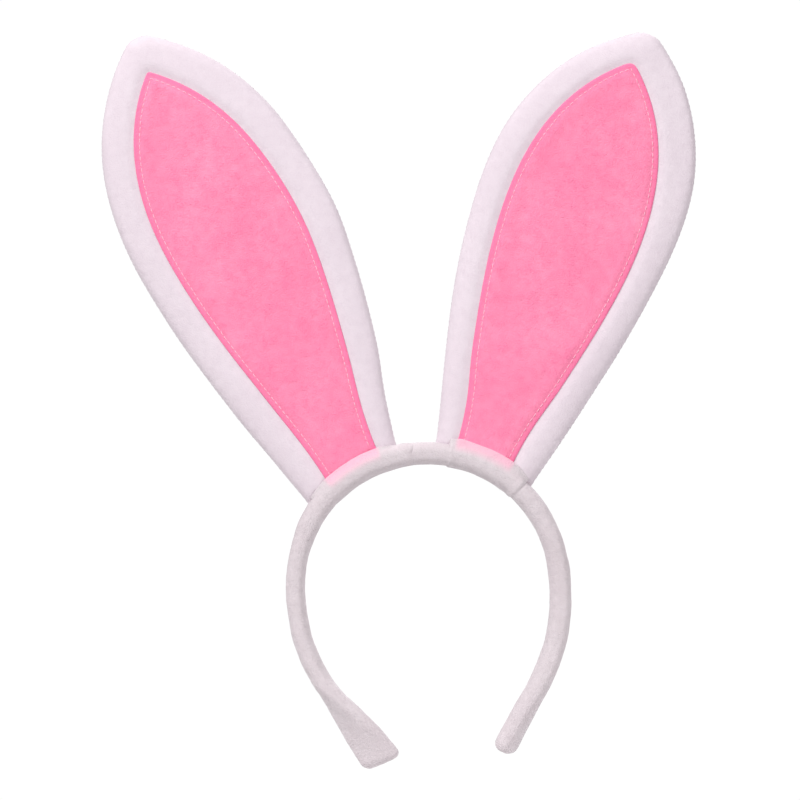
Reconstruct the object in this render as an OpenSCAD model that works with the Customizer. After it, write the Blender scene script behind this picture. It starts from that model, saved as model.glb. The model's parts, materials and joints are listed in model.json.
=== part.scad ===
// Rabbit-ear headband, upright as it is worn.
// The origin is the centre of the hoop's inner face, the hoop's axis is Y, and the fronts of the ears face -Y.

/* [Band] */
// Radius of the hoop's inner face, which holds the head
hoop_r = 61.5; // [55:0.5:68]
// Width of the band, front to back
band_w = 20; // [18:0.5:26]
// Thickness of the covered band over the crown
crown_t = 11; // [10:0.5:13]
// Thickness of the left arm
left_arm_t = 9; // [9:0.1:12]
// Thickness of the right arm
right_arm_t = 10.5; // [9:0.1:12]
// Radius of the band's rounded edges
edge_r = 4; // [3.5:0.1:4.2]
// Thickness of the velour
velour_t = 1; // [0.6:0.1:1.2]
// Width of the plastic strip inside the band
strip_w = 11; // [8:0.5:12]
// Thickness of the plastic strip inside the band
strip_t = 1.8; // [1.2:0.1:2.2]

/* [Arms] */
// Angle above the hoop's middle where each arm starts to flex
flex_angle = 40; // [38:0.5:41]
// Angle below the hoop's middle where each arm starts to straighten
straighten_angle = 0; // [0:1:10]
// Distance of the left arm's end from the middle
left_end_x = 29; // [25:0.5:45]
// Distance of the right arm's end from the middle
right_end_x = 31.5; // [25:0.5:45]
// Depth of the arms' ends below the hoop's middle
end_drop = 85; // [76:1:95]
// Slope of the arms at their ends, from upright
end_slope = 31; // [20:1:35]
// Twist of the left arm's end, which turns its outer face forwards
left_twist = 80; // [0:5:85]
// Twist of the right arm's end
right_twist = 16; // [0:1:85]

/* [Ears] */
// Length of the left ear from its seat to its tip
left_ear_len = 242; // [200:1:270]
// Length of the right ear from its seat to its tip
right_ear_len = 229; // [200:1:270]
// Lean of the left ear from upright
left_ear_lean = 21.5; // [15:0.5:29]
// Lean of the right ear from upright
right_ear_lean = 25.5; // [15:0.5:29]
// Thickness of a stuffed ear
ear_t = 13; // [9:0.5:14]
// Angle of each ear's seat on the hoop, from the top
seat_angle = 29; // [28:0.5:30]
// Thickness of the pink felt
felt_t = 0.8; // [0.5:0.1:1.5]
// Distance of the topstitch from the pink panel's edge
stitch_inset = 3; // [2:0.5:5]

/* [Wraps] */
// Angle between +X and the outer end of the right wrap
right_wrap_from = 42; // [41.5:0.5:44]
// Angle between +X and the inner end of the right wrap
right_wrap_to = 77; // [74:0.5:79]
// Angle between +X and the inner end of the left wrap
left_wrap_from = 91; // [89:0.5:94]
// Angle between +X and the outer end of the left wrap
left_wrap_to = 138.5; // [136:0.5:138.5]
// How far a wrap stands out of the band
wrap_rise = 0.5; // [0.3:0.1:0.8]

/* [Hidden] */
$fn = 32;
LEFT = -1;
RIGHT = 1;

// Clearances and the thickness of the sewing thread
body_gap = 0.4;
strip_gap = 0.3;
lay_gap = 0.1;
thread_r = 0.4;
// How strongly an arm's curve keeps the direction of its two ends, as a share of its radius
arm_reach = 0.6;
// The twist of an arm starts at this share of its curve, and grows with this power of the rest
twist_from = 0.5;
twist_ease = 1.1;
// An arm's curved part starts this far inside its round part, as a share of the curve, and is this much thinner
lap = 0.01;
lap_inset = 0.05;

// Half of an ear's outline and half of its pink panel's, as cubic curves of [half width, height]
pattern_len = 242;
EAR_SIDE = [[27, 0], [51, 102], [76, 188], [4.5, 242]];
PINK_SIDE = [[15, 0], [17, 55], [67, 165], [0, 224]];
// How far the foot and the tip of each pink panel lie outwards of its ear's middle line
LEFT_PINK_SHIFT = [-2, 3];
RIGHT_PINK_SHIFT = [-1.5, -2.5];

// The arms begin just below the crown
arm_from = flex_angle - 0.35;

// Radii from the hoop's axis
crown_out = hoop_r + crown_t;
wrap_out = crown_out + wrap_rise;
strip_in = hoop_r + 3;
strip_mid = strip_in + strip_t / 2;

// The seat of an ear, and the height above it of the line that its rounded foot turns about
seat_r = crown_out - 3;
seat_x = seat_r * sin(seat_angle);
seat_z = seat_r * cos(seat_angle);
ear_r = ear_t / 2;
hinge_s = wrap_out + body_gap - seat_r + ear_r;

// Shape of a stuffed ear: its rounded tip, the squareness of its rim, and where its slanted foot is level again
tip_len = 30;
rim_power = 5;
level_s = 60;
// The core stops short of the rim, where the panels' thread runs
core_inset = 3.2;

// The foot that joins a wrap to its ear
saddle_w = 52;
saddle_t = 11;

// How finely the lofted shapes are cut
CORNER_STEPS = 4;
ARM_STEPS = 13;
RIM_STEPS = 20;
EAR_STEPS = 12;
TIP_STEPS = 5;
FELT_STEPS = 8;

// Angle between the middle plane and the edge of each ear panel, where the seam's thread runs
RIM_GAP = 2;

// ---- Curves and lofts ----

function pick(side, left, right) = side == LEFT ? left : right;

function smooth(x) = let (t = min(1, max(0, x))) t * t * (3 - 2 * t);

function bezier(c, u) =
    (1 - u) ^ 3 * c[0] + 3 * (1 - u) ^ 2 * u * c[1] + 3 * (1 - u) * u ^ 2 * c[2] + u ^ 3 * c[3];

function bezier_direction(c, u) =
    let (d = (1 - u) ^ 2 * (c[1] - c[0]) + 2 * (1 - u) * u * (c[2] - c[1]) + u ^ 2 * (c[3] - c[2]))
    d / norm(d);

// The parameter at which a curve's second coordinate is height
function parameter_at(c, height, low = 0, high = 1, halvings = 16) =
    let (middle = (low + high) / 2)
    halvings == 0 ? middle :
    bezier(c, middle)[1] < height ? parameter_at(c, height, middle, high, halvings - 1) :
    parameter_at(c, height, low, middle, halvings - 1);

// A closed solid through rings that all have the same even number of points. Each end is closed by a ladder of
// triangles between the ring's two halves, which leaves no slivers.
module loft(rings) {
    n = len(rings[0]);
    last = len(rings) - 1;
    top = last * n;
    polyhedron(
        points = [for (ring = rings) each ring],
        faces = [
            for (i = [0:n / 2 - 2])
                let (far = n - 1 - i)
                each [
                    [i, i + 1, far - 1], [i, far - 1, far],
                    [top + far - 1, top + i + 1, top + i], [top + far, top + far - 1, top + i]
                ],
            for (k = [0:last - 1], i = [0:n - 1])
                let (a = k * n + i, b = k * n + (i + 1) % n)
                each [[a, a + n, b + n], [a, b + n, b]]
        ],
        convexity = 6
    );
}

// Left parts are mirror images in the middle plane
module on_side(side) {
    mirror([side == LEFT ? 1 : 0, 0, 0]) children();
}

// ---- The crown: everything between the two flex angles ----

module rounded_section(inner, outer, width, r) {
    t = outer - inner;
    translate([(inner + outer) / 2, 0]) {
        square([t, width - 2 * r], center = true);
        square([t - 2 * r, width], center = true);
        for (x = [-1, 1], y = [-1, 1])
            translate([x * (t / 2 - r), y * (width / 2 - r)]) circle(r);
    }
}

// Turns a section, drawn with the hoop's radius along X, from one angle to another
module around_hoop(from, to) {
    rotate([90, 0, 0]) rotate_extrude(start = from, angle = to - from, $fn = 96) children();
}

// The crown's section where a wrap squeezes it, drawn in by inset
module squeezed_section(inset) {
    rounded_section(
        hoop_r + velour_t + inset, wrap_out - velour_t - inset,
        band_w + 2 * (wrap_rise - velour_t - inset), edge_r + wrap_rise - velour_t - inset
    );
}

module strip_section(gap) {
    translate([strip_mid, 0]) square([strip_t + 2 * gap, strip_w + 2 * gap], center = true);
}

// A thread that lies on the rounded back inner edge of a section, lift outside the band's own
module thread_section(lift) {
    in = (edge_r + lift) * (1 - cos(45)) - thread_r * cos(45);
    translate([hoop_r + in, -band_w / 2 - lift + in]) circle(thread_r, $fn = 16);
}

module crown_padding() {
    color("gainsboro")
        around_hoop(flex_angle, 180 - flex_angle)
            difference() {
                squeezed_section(velour_t);
                strip_section(0);
            }
}

module crown_cover() {
    color("whitesmoke")
        difference() {
            union() {
                for (span = [
                    [flex_angle, right_wrap_from],
                    [right_wrap_to, left_wrap_from],
                    [left_wrap_to, 180 - flex_angle]
                ])
                    around_hoop(span[0], span[1]) rounded_section(hoop_r, crown_out, band_w, edge_r);
                for (span = [[right_wrap_from, right_wrap_to], [left_wrap_from, left_wrap_to]])
                    around_hoop(span[0], span[1]) squeezed_section(0);
            }
            around_hoop(flex_angle - 1, 181 - flex_angle) squeezed_section(velour_t);
        }
}

module crown_seam() {
    color("lightgray") around_hoop(right_wrap_to + 1, left_wrap_from - 1) thread_section(0);
}

// ---- The wraps that hold the ears ----

module wrap(side, from, to) {
    sleeve_r = edge_r + wrap_rise;
    color("white") {
        around_hoop(from, to)
            difference() {
                rounded_section(hoop_r, wrap_out, band_w + 2 * wrap_rise, sleeve_r);
                squeezed_section(0);
            }
        on_side(side)
            rotate([90, 0, 0])
                linear_extrude(saddle_t, center = true)
                    difference() {
                        rotate(-seat_angle)
                            translate([-saddle_w / 2, 0])
                                square([saddle_w, wrap_out + body_gap / 4]);
                        circle(wrap_out - velour_t / 2, $fn = 96);
                    }
    }
}

module wrap_stitches(from, to) {
    color("lightgray") around_hoop(from + 2, to - 2) thread_section(wrap_rise);
}

// ---- The arms: round the hoop, then along a curve that straightens and twists ----

function arm_t(side) = pick(side, left_arm_t, right_arm_t);
function arm_twist(side, u) =
    pick(side, left_twist, right_twist) * max(0, (u - twist_from) / (1 - twist_from)) ^ twist_ease;

// The curve of an arm's middle, as [x, z], from the straightening angle to the end
function arm_curve(side) =
    let (
        middle_r = hoop_r + arm_t(side) / 2,
        reach = middle_r * arm_reach,
        start = middle_r * [cos(straighten_angle), -sin(straighten_angle)],
        end = [pick(side, left_end_x, right_end_x), -end_drop]
    )
    [
        start,
        start - reach * [sin(straighten_angle), cos(straighten_angle)],
        end + reach * [sin(end_slope), cos(end_slope)],
        end
    ];

// A ring of [outwards, backwards] points about the arm's middle at u, and ahead of it along the arm
function arm_ring(side, u, section, ahead = 0) =
    let (
        curve = arm_curve(side),
        along = bezier_direction(curve, u),
        middle = bezier(curve, u) + ahead * along,
        twist = arm_twist(side, u)
    )
    [
        for (p = section)
            let (
                outwards = p[0] * cos(twist) + p[1] * sin(twist),
                backwards = p[1] * cos(twist) - p[0] * sin(twist)
            )
            [middle[0] - outwards * along[1], backwards, middle[1] + outwards * along[0]]
    ];

function rounded_ring(t, width, r) = [
    for (corner = [0:3], k = [0:CORNER_STEPS])
        let (
            angle = 90 * (corner + k / CORNER_STEPS),
            x = corner == 0 || corner == 3 ? 1 : -1,
            y = corner < 2 ? 1 : -1
        )
        [x * (t / 2 - r) + r * cos(angle), y * (width / 2 - r) + r * sin(angle)]
];

function box_ring(x, t, width) = [
    [x + t / 2, -width / 2], [x + t / 2, width / 2], [x - t / 2, width / 2], [x - t / 2, -width / 2]
];

// How far the strip's middle lies outwards of an arm's middle
function strip_offset(side) = strip_mid - hoop_r - arm_t(side) / 2;

module arm_sweep(side, section, from, to) {
    loft([for (k = [ARM_STEPS:-1:0]) arm_ring(side, from + (to - from) * k / ARM_STEPS, section)]);
}

// An arm's section, drawn in by inset
function arm_section(side, inset) =
    rounded_ring(arm_t(side) - 2 * inset, band_w - 2 * inset, edge_r - inset);

module arm_hoop_section(side, inset) {
    translate([hoop_r + arm_t(side) / 2, 0]) polygon(arm_section(side, inset));
}

module arm_cover(side) {
    color("whitesmoke")
        on_side(side) {
            around_hoop(-straighten_angle, arm_from)
                difference() {
                    arm_hoop_section(side, 0);
                    arm_hoop_section(side, velour_t);
                }
            difference() {
                arm_sweep(side, arm_section(side, lap_inset), -lap, 1);
                arm_sweep(side, arm_section(side, velour_t - lap_inset), -2 * lap, 1 + lap);
            }
        }
}

module arm_padding(side) {
    // The twisted channel is roomier than the round one
    channel_t = strip_t + 4 * strip_gap;
    channel_w = strip_w + 4 * strip_gap;
    color("gainsboro")
        on_side(side) {
            around_hoop(-straighten_angle, arm_from)
                difference() {
                    arm_hoop_section(side, velour_t);
                    strip_section(strip_gap);
                }
            difference() {
                arm_sweep(side, arm_section(side, velour_t + 2 * lay_gap), -lap, 1);
                arm_sweep(side, box_ring(strip_offset(side), channel_t, channel_w), -2 * lap, 0.92);
            }
        }
}

module spring_strip() {
    tail_t = strip_t - 2 * lap_inset;
    tail_w = strip_w - 2 * lap_inset;
    color("dimgray") {
        around_hoop(-straighten_angle, 180 + straighten_angle) strip_section(0);
        for (side = [LEFT, RIGHT])
            on_side(side) arm_sweep(side, box_ring(strip_offset(side), tail_t, tail_w), -lap, 0.9);
    }
}

module arm_seam(side) {
    in = edge_r * (1 - cos(45)) - thread_r * cos(45);
    middle = [in - arm_t(side) / 2, band_w / 2 - in];
    tail_r = thread_r - lap_inset;
    color("lightgray")
        on_side(side) {
            around_hoop(-straighten_angle, flex_angle - 1) thread_section(0);
            arm_sweep(side, [for (a = [0:45:315]) middle + tail_r * [cos(a), sin(a)]], -lap, 0.98);
        }
}

module end_fold(side) {
    t = arm_t(side);
    color("whitesmoke")
        on_side(side)
            loft([
                for (step = [[1.5, 1.6], [0.9, 0.6], [0, 0.2]])
                    arm_ring(
                        side, 1,
                        rounded_ring(t - 2 * step[1], band_w - 2 * step[1], edge_r - step[1]),
                        step[0]
                    )
            ]);
}

// ---- The ears, each in its own frame: X outwards, Y backwards, Z from the seat to the tip ----

function ear_len(side) = pick(side, left_ear_len, right_ear_len);
function ear_lean(side) = pick(side, left_ear_lean, right_ear_lean);
function pink_shift(side) = pick(side, LEFT_PINK_SHIFT, RIGHT_PINK_SHIFT);
function stretch(side) = ear_len(side) / pattern_len;

function side_at(side, curve, s) = bezier(curve, parameter_at(curve, s / stretch(side)))[0];
function half_w(side, s) = side_at(side, EAR_SIDE, s);
function half_pink(side, s) = side_at(side, PINK_SIDE, s);

// Half the ear's thickness at its middle line, drawn in by inset
function half_t(side, s, inset = 0) =
    let (into_tip = max(0, s - ear_len(side) + tip_len) / tip_len)
    s < hinge_s ? sqrt(max(0, (ear_r - inset) ^ 2 - (hinge_s - s) ^ 2)) :
    ear_r * sqrt(1 - 0.96 * into_tip ^ 2) - inset;

// The front's distance from the middle plane
function front_y(side, x, s) =
    half_t(side, s) * sqrt(max(0, 1 - abs(x / half_w(side, s)) ^ rim_power));

// A point of the ear, on the slant of the seat near the foot
function ear_point(side, x, y, s) =
    let (level = 1 - smooth((s - hinge_s) / (level_s - hinge_s)))
    [x, y, s - x * tan(seat_angle - ear_lean(side)) * level];

function signed_power(x, power) = sign(x) * abs(x) ^ power;

// Points of a padded oval between two angles
function oval(side, s, from, to, inset_w, inset_t) =
    let (steps = round(RIM_STEPS * (to - from) / 360))
    [
        for (k = [0:steps])
            let (a = from + k * (to - from) / steps)
            ear_point(
                side,
                max(0.3, half_w(side, s) - inset_w) * signed_power(cos(a), 2 / rim_power),
                max(0.1, half_t(side, s, inset_t)) * sin(a),
                s
            )
    ];

// Heights of the ear's rings: round the foot, up the ear, and over the tip
function stations(side, foot_r, foot_from) = [
    for (a = [foot_from:15:75]) hinge_s - foot_r * cos(a),
    for (k = [0:EAR_STEPS - 1]) hinge_s + (ear_len(side) - tip_len - hinge_s) * k / EAR_STEPS,
    for (k = [0:TIP_STEPS]) ear_len(side) - tip_len * (1 - sin(90 * k / TIP_STEPS))
];

module in_ear(side) {
    on_side(side) translate([seat_x, 0, seat_z]) rotate([0, ear_lean(side), 0]) children();
}

module ear_core(side) {
    foam_r = ear_r - velour_t - lay_gap;
    color("khaki")
        in_ear(side)
            loft([
                for (s = stations(side, foam_r, 15))
                    if (s < ear_len(side) - 1)
                        oval(side, s, 0, 360 - 360 / RIM_STEPS, core_inset, velour_t + lay_gap)
            ]);
}

// One of the two white panels: half of the ear's surface, with its thickness inside
module ear_panel(side) {
    levels = stations(side, ear_r, 45);
    loft([
        for (k = [len(levels) - 1:-1:0])
            let (
                inside = oval(side, levels[k], 180 + RIM_GAP, 360 - RIM_GAP, velour_t, velour_t),
                outside = oval(side, levels[k], 180 + RIM_GAP, 360 - RIM_GAP, 0, 0)
            )
            [
                each inside,
                for (i = [len(outside) - 1:-1:0]) outside[i]
            ]
    ]);
}

module ear_front(side) {
    color("white") in_ear(side) ear_panel(side);
}

module ear_back(side) {
    color("whitesmoke") in_ear(side) mirror([0, 1, 0]) ear_panel(side);
}

// Heights of the pink panel's rings
function pink_stations(side) =
    let (top = PINK_SIDE[3][1] * stretch(side) - 1)
    [for (s = stations(side, ear_r, 75)) if (s >= hinge_s && s < top - 2) s, top];

function pink_middle(side, s) =
    let (shift = pink_shift(side)) shift[0] + (shift[1] - shift[0]) * s / ear_len(side);

module ear_pink(side) {
    color("hotpink")
        in_ear(side)
            loft([
                for (s = pink_stations(side))
                    let (
                        columns = [
                            for (i = [0:FELT_STEPS])
                                pink_middle(side, s) + half_pink(side, s) * (2 * i / FELT_STEPS - 1)
                        ]
                    )
                    [
                        for (x = columns)
                            ear_point(side, x, -front_y(side, x, s) - lay_gap - felt_t, s),
                        for (i = [FELT_STEPS:-1:0])
                            ear_point(side, columns[i], -front_y(side, columns[i], s) - lay_gap, s)
                    ]
            ]);
}

module ear_topstitch(side) {
    color("pink")
        in_ear(side)
            for (edge = [-1, 1])
                loft([
                    for (s = pink_stations(side))
                        if (s > hinge_s && half_pink(side, s) > 2 * stitch_inset)
                            let (
                                x = pink_middle(side, s) + edge * (half_pink(side, s) - stitch_inset),
                                y = -front_y(side, x, s) - 2 * lay_gap - felt_t
                            )
                            [
                                ear_point(side, x - thread_r, y, s),
                                ear_point(side, x - thread_r, y - thread_r, s),
                                ear_point(side, x + thread_r, y - thread_r, s),
                                ear_point(side, x + thread_r, y, s)
                            ]
                ]);
}

module ear_rim_thread(side) {
    color("lightgray")
        in_ear(side)
            for (edge = [-1, 1])
                loft([
                    for (s = stations(side, ear_r, 75))
                        if (s < ear_len(side) - 8)
                            let (x = edge * (half_w(side, s) - velour_t - 2 * thread_r))
                            [
                                for (a = [0:60:300])
                                    ear_point(side, x + thread_r * cos(a), thread_r * sin(a), s)
                            ]
                ]);
}

spring_strip();
crown_padding();
arm_padding(LEFT);  // left_arm_padding
arm_padding(RIGHT);  // right_arm_padding
crown_cover();
arm_cover(LEFT);  // left_arm_cover
arm_cover(RIGHT);  // right_arm_cover
crown_seam();
arm_seam(LEFT);  // left_arm_seam
arm_seam(RIGHT);  // right_arm_seam
end_fold(LEFT);  // left_end_fold
end_fold(RIGHT);  // right_end_fold
wrap(LEFT, left_wrap_from, left_wrap_to);  // left_wrap
wrap(RIGHT, right_wrap_from, right_wrap_to);  // right_wrap
wrap_stitches(left_wrap_from, left_wrap_to);  // left_wrap_stitches
wrap_stitches(right_wrap_from, right_wrap_to);  // right_wrap_stitches
ear_core(LEFT);  // left_ear_core
ear_front(LEFT);  // left_ear_front
ear_back(LEFT);  // left_ear_back
ear_pink(LEFT);  // left_ear_pink
ear_topstitch(LEFT);  // left_ear_topstitch
ear_rim_thread(LEFT);  // left_ear_rim_thread
ear_core(RIGHT);  // right_ear_core
ear_front(RIGHT);  // right_ear_front
ear_back(RIGHT);  // right_ear_back
ear_pink(RIGHT);  // right_ear_pink
ear_topstitch(RIGHT);  // right_ear_topstitch
ear_rim_thread(RIGHT);  // right_ear_rim_thread
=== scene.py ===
"""The looks of a headband with rabbit ears: velour band, stuffed ears, pink panels and their stitches."""
import json
import math

import bmesh
import bpy
import numpy as np
from mathutils import Matrix, Vector, geometry, noise
from mathutils.bvhtree import BVHTree


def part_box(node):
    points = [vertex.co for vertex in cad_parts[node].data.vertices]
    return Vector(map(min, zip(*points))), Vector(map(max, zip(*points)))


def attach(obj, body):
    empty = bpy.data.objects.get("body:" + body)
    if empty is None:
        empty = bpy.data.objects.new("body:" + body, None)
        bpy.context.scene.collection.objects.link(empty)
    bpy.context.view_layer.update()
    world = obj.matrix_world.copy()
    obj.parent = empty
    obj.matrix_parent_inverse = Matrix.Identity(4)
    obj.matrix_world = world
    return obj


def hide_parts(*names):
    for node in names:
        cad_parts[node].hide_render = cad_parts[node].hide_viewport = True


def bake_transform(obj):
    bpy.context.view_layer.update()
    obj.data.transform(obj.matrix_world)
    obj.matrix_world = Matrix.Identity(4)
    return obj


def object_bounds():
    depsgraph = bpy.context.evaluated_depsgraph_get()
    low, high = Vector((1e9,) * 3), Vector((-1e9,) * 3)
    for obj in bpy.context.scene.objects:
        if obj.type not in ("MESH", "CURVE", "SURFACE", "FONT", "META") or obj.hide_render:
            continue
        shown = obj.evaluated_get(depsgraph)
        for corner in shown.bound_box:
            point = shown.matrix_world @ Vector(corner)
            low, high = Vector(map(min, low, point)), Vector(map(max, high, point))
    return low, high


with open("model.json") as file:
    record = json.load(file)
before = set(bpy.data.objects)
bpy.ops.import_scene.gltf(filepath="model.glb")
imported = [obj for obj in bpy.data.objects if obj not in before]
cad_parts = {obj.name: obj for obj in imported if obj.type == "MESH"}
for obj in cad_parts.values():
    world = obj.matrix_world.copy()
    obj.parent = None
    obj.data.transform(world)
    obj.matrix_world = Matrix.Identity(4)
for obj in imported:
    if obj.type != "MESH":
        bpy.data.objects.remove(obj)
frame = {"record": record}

CAD_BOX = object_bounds()

# Sizes in this script are millimetres, and meshes are made in metres
MM = 0.001
LEFT, RIGHT = "left", "right"
SIDES = (LEFT, RIGHT)
OUTWARDS = {LEFT: -1, RIGHT: 1}

# The hoop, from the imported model
HOOP_R = frame["record"]["mounts"][0]["dims"]["r_mm"]
CROWN_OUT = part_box("crown_cover")[1][2] / MM
BAND_W = 2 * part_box("crown_cover")[1][1] / MM
CROWN_T = CROWN_OUT - HOOP_R

# The arms: thickness, how far out the end is, its twist, the slant of its cut, and how much longer the arm is
# than its curve. Then the wrap beside each arm: its two ends in degrees up from the side, how high its lip
# stands, and over how many degrees its lower end thins out
ARMS = {
    LEFT: dict(t=9, end_x=29, twist=80, skew=0.2, longer=1.4, wrap=(41.5, 89), lip=1.9, fade=9),
    RIGHT: dict(t=10.3, end_x=31.5, twist=16, skew=0, longer=0, wrap=(42, 77), lip=3.6, fade=1.4),
}
# An arm leaves the hoop at its side and goes on in one curve. Shares of that curve are counted from there
ARM_REACH = 0.6
CURVE_LEN = 92
TWIST_FROM = 0.5
TWIST_EASE = 1.1
CUT_FROM, CUT_OVER = 0.65, 0.3
END_DROP = 85
END_SLOPE = 31
END_ROUND = 4.2
END_ROUND_SHARE = 0.035
STRIP_END_SHARE = 0.9
FLAP_SHARES = (0.865, 0.965)
# In degrees up from the side: where an arm starts to grow to the crown's thickness, and over how many degrees
# it grows
GROW_FROM, GROW_OVER = 12, 30
# In degrees: how far the arms and the crown go into a wrap, and how much sooner their foam ends
ARM_UNDER, CROWN_UNDER = 6, 3
ARM_FOAM_SHORTER, CROWN_FOAM_SHORTER = 2, 3

# The padded section: how square it is, how much its outer face bulges, and how far in it is set
SQUARENESS = 2.8
OUTER_BULGE = 0.35
SET_IN = 0.2
FOAM_INSET = 1.3
# The sleeve's seam, as a share of the way round the section
BACK_INNER = 0.36

# The ears, each from its seat on the hoop to its tip
EARS = {
    LEFT: dict(length=242, lean=21.5, pink_shift=(-2, 3), tip_round=2.6, pink_round=0.8),
    RIGHT: dict(length=229, lean=25.5, pink_shift=(-1.5, -2.5), tip_round=2.2, pink_round=2.2),
}
# How each sewn outline strays from its pattern: its middle bowed by sway and its upper half moved sideways by
# tip_shift, and both sides fuller by low and high in the lower and the upper half
STRAY = {
    LEFT: dict(
        ear=dict(sway=0, tip_shift=2, low=1.2, high=0),
        pink=dict(sway=0, tip_shift=1.3, low=0.5, high=0),
    ),
    RIGHT: dict(
        ear=dict(sway=-1.4, tip_shift=0, low=0, high=1.3),
        pink=dict(sway=0, tip_shift=-0.3, low=1.3, high=1.2),
    ),
}
# Heights up the ear: the upper and the lower half of those strays, and the tip, where they fade out
UPPER_FROM, UPPER_OVER = 110, 60
LOWER_FROM, LOWER_OVER = 20, 30
TIP_FADE = 20
# The pattern: half widths and heights of the curves' four points, and how it goes on below the seat
PATTERN_LEN = 242
EAR_SIDE = ((27, 0), (51, 102), (76, 188), (4.5, 242))
PINK_SIDE = ((15, 0), (17, 55), (67, 165), (0, 224))
BELOW_SEAT = 12
BELOW_NARROWER = 1.5
# The seat, where an ear's own heights start, and the radii where the ear and its pink end inside the wrap
SEAT_ANGLE = 29
SEAT_R = CROWN_OUT - 3
SEAT_X = SEAT_R * math.sin(math.radians(SEAT_ANGLE))
SEAT_Z = SEAT_R * math.cos(math.radians(SEAT_ANGLE))
FOOT_R = CROWN_OUT - 2.5
PINK_FOOT_R = CROWN_OUT - 0.5
# The cloth can't move nearer to the hoop's middle than this
HELD_R = CROWN_OUT + 5
# Heights up the ear: its hinge, and where the pattern's slant at the hoop has turned level
HINGE_S = 10.4
LEVEL_S = 60
# The stuffing: half the ear's thickness, how far in from the rim that is reached, how round the rim is, the
# valley at the pink's edge, and how thin the ear can get in it
EAR_HALF_T = 5.9
RIM_ROUND = 13
RIM_POWER = 2.2
VALLEY = 1.5
VALLEY_INSET, VALLEY_WIDTH = 1.2, 2.8
THINNEST_SHARE = 0.35
BACK_SHARE = 0.97
# The pink felt: its thickness, the width of its rounded edge, the gap to the plush, how deep its underside
# and its edge go into the plush, its deeper pink border, and its topstitch with the groove that this pulls in
FELT_T = 0.8
FELT_EDGE = 1.2
FELT_GAP = 0.08
FELT_SUNK = 0.25
EDGE_SUNK = 0.1
BORDER_OVER, BORDER_FADE = 0.3, 1.2
STITCH_INSET = 3
GROOVE, GROOVE_WIDTH = 0.45, 0.9
# The foam inside an ear: how much thinner and smaller than the ear, and how far up it is moved
CORE_THINNER = 2.4
CORE_SCALE = (0.94, 0.975)
CORE_UP = 3

# Meshes: spacing of points, rows of points inside an edge, the width along the rim that the cloth can't move,
# and how often its wrinkles are evened out
CLOTH_GRID = 2.3
FELT_GRID = 1.7
CORE_GRID = 6
RIM_ROW = 2
PINK_ROW = 1.4
SEAM_ALLOWANCE = 2.6
IRONING = 8
OUTLINE_STEP = 0.5
SEAM_STEP = 1.5
# Points of a grid keep this share of their spacing away from an edge or a line
CLEAR_SHARE = 0.6


# ---- Numbers ----

def smooth(x):
    t = np.clip(x, 0, 1)
    return t * t * (3 - 2 * t)


def bezier(curve, u):
    a, b, c, d = (np.asarray(p, float) for p in curve)
    u = np.asarray(u, float)[..., None]
    return (1 - u) ** 3 * a + 3 * (1 - u) ** 2 * u * b + 3 * (1 - u) * u ** 2 * c + u ** 3 * d


def bezier_direction(curve, u):
    a, b, c, d = (np.asarray(p, float) for p in curve)
    along = (1 - u) ** 2 * (b - a) + 2 * (1 - u) * u * (c - b) + u ** 2 * (d - c)
    return along / np.linalg.norm(along)


def signed_power(x, power):
    return np.sign(x) * np.abs(x) ** power


def resampled(path, spacing, closed):
    """The path's points spread evenly, about spacing apart."""
    path = np.asarray(path, float)
    if closed:
        path = np.vstack([path, path[:1]])
    run = np.concatenate([[0], np.cumsum(np.linalg.norm(np.diff(path, axis=0), axis=1))])
    count = max(3, round(run[-1] / spacing))
    at = np.linspace(0, run[-1], count + 1)
    if closed:
        at = at[:-1]
    return np.stack([np.interp(at, run, column) for column in path.T], axis=-1)


def path_distance(points, path, closed):
    """Each point's distance to a polyline."""
    start = np.asarray(path, float)
    end = np.roll(start, -1, axis=0) if closed else start[1:]
    start = start if closed else start[:-1]
    best = np.full(len(points), np.inf)
    for a, b in zip(start, end):
        along = b - a
        t = np.clip((points - a) @ along / max(along @ along, 1e-12), 0, 1)
        best = np.minimum(best, np.linalg.norm(points - a - t[:, None] * along, axis=1))
    return best


def inside(points, outline):
    """Whether each point is within a closed outline."""
    within = np.zeros(len(points), bool)
    x, z = points.T
    for (ax, az), (bx, bz) in zip(outline, np.roll(outline, -1, axis=0)):
        if az != bz:
            within ^= ((az > z) != (bz > z)) & (x < (bx - ax) * (z - az) / (bz - az) + ax)
    return within


# ---- Meshes ----

def new_object(name, points, faces, material):
    mesh = bpy.data.meshes.new(name)
    mesh.from_pydata([tuple(p) for p in np.asarray(points) * MM], [], faces)
    body = bmesh.new()
    body.from_mesh(mesh)
    bmesh.ops.recalc_face_normals(body, faces=body.faces)
    body.to_mesh(mesh)
    body.free()
    mesh.polygons.foreach_set("use_smooth", [True] * len(mesh.polygons))
    mesh.materials.append(material)
    piece = bpy.data.objects.new(name, mesh)
    bpy.context.scene.collection.objects.link(piece)
    return piece


def coordinates(mesh):
    flat = np.empty(3 * len(mesh.vertices))
    mesh.vertices.foreach_get("co", flat)
    return flat.reshape(-1, 3)


def set_coordinates(mesh, points):
    mesh.vertices.foreach_set("co", np.asarray(points, float).ravel())
    mesh.update()


def set_attribute(piece, name, values):
    attribute = piece.data.attributes.new(name, "FLOAT", "POINT")
    attribute.data.foreach_set("value", np.asarray(values, np.float32))


def loft(name, rings, material):
    """A closed solid through rings of equal length, with its ends capped."""
    rings = np.asarray(rings)
    count, n = rings.shape[:2]
    faces = []
    for k in range(count - 1):
        for i in range(n):
            j = (i + 1) % n
            faces.append((k * n + i, k * n + j, (k + 1) * n + j, (k + 1) * n + i))
    faces.append(tuple(reversed(range(n))))
    faces.append(tuple(range((count - 1) * n, count * n)))
    return new_object(name, rings.reshape(-1, 3), faces, material)


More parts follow.
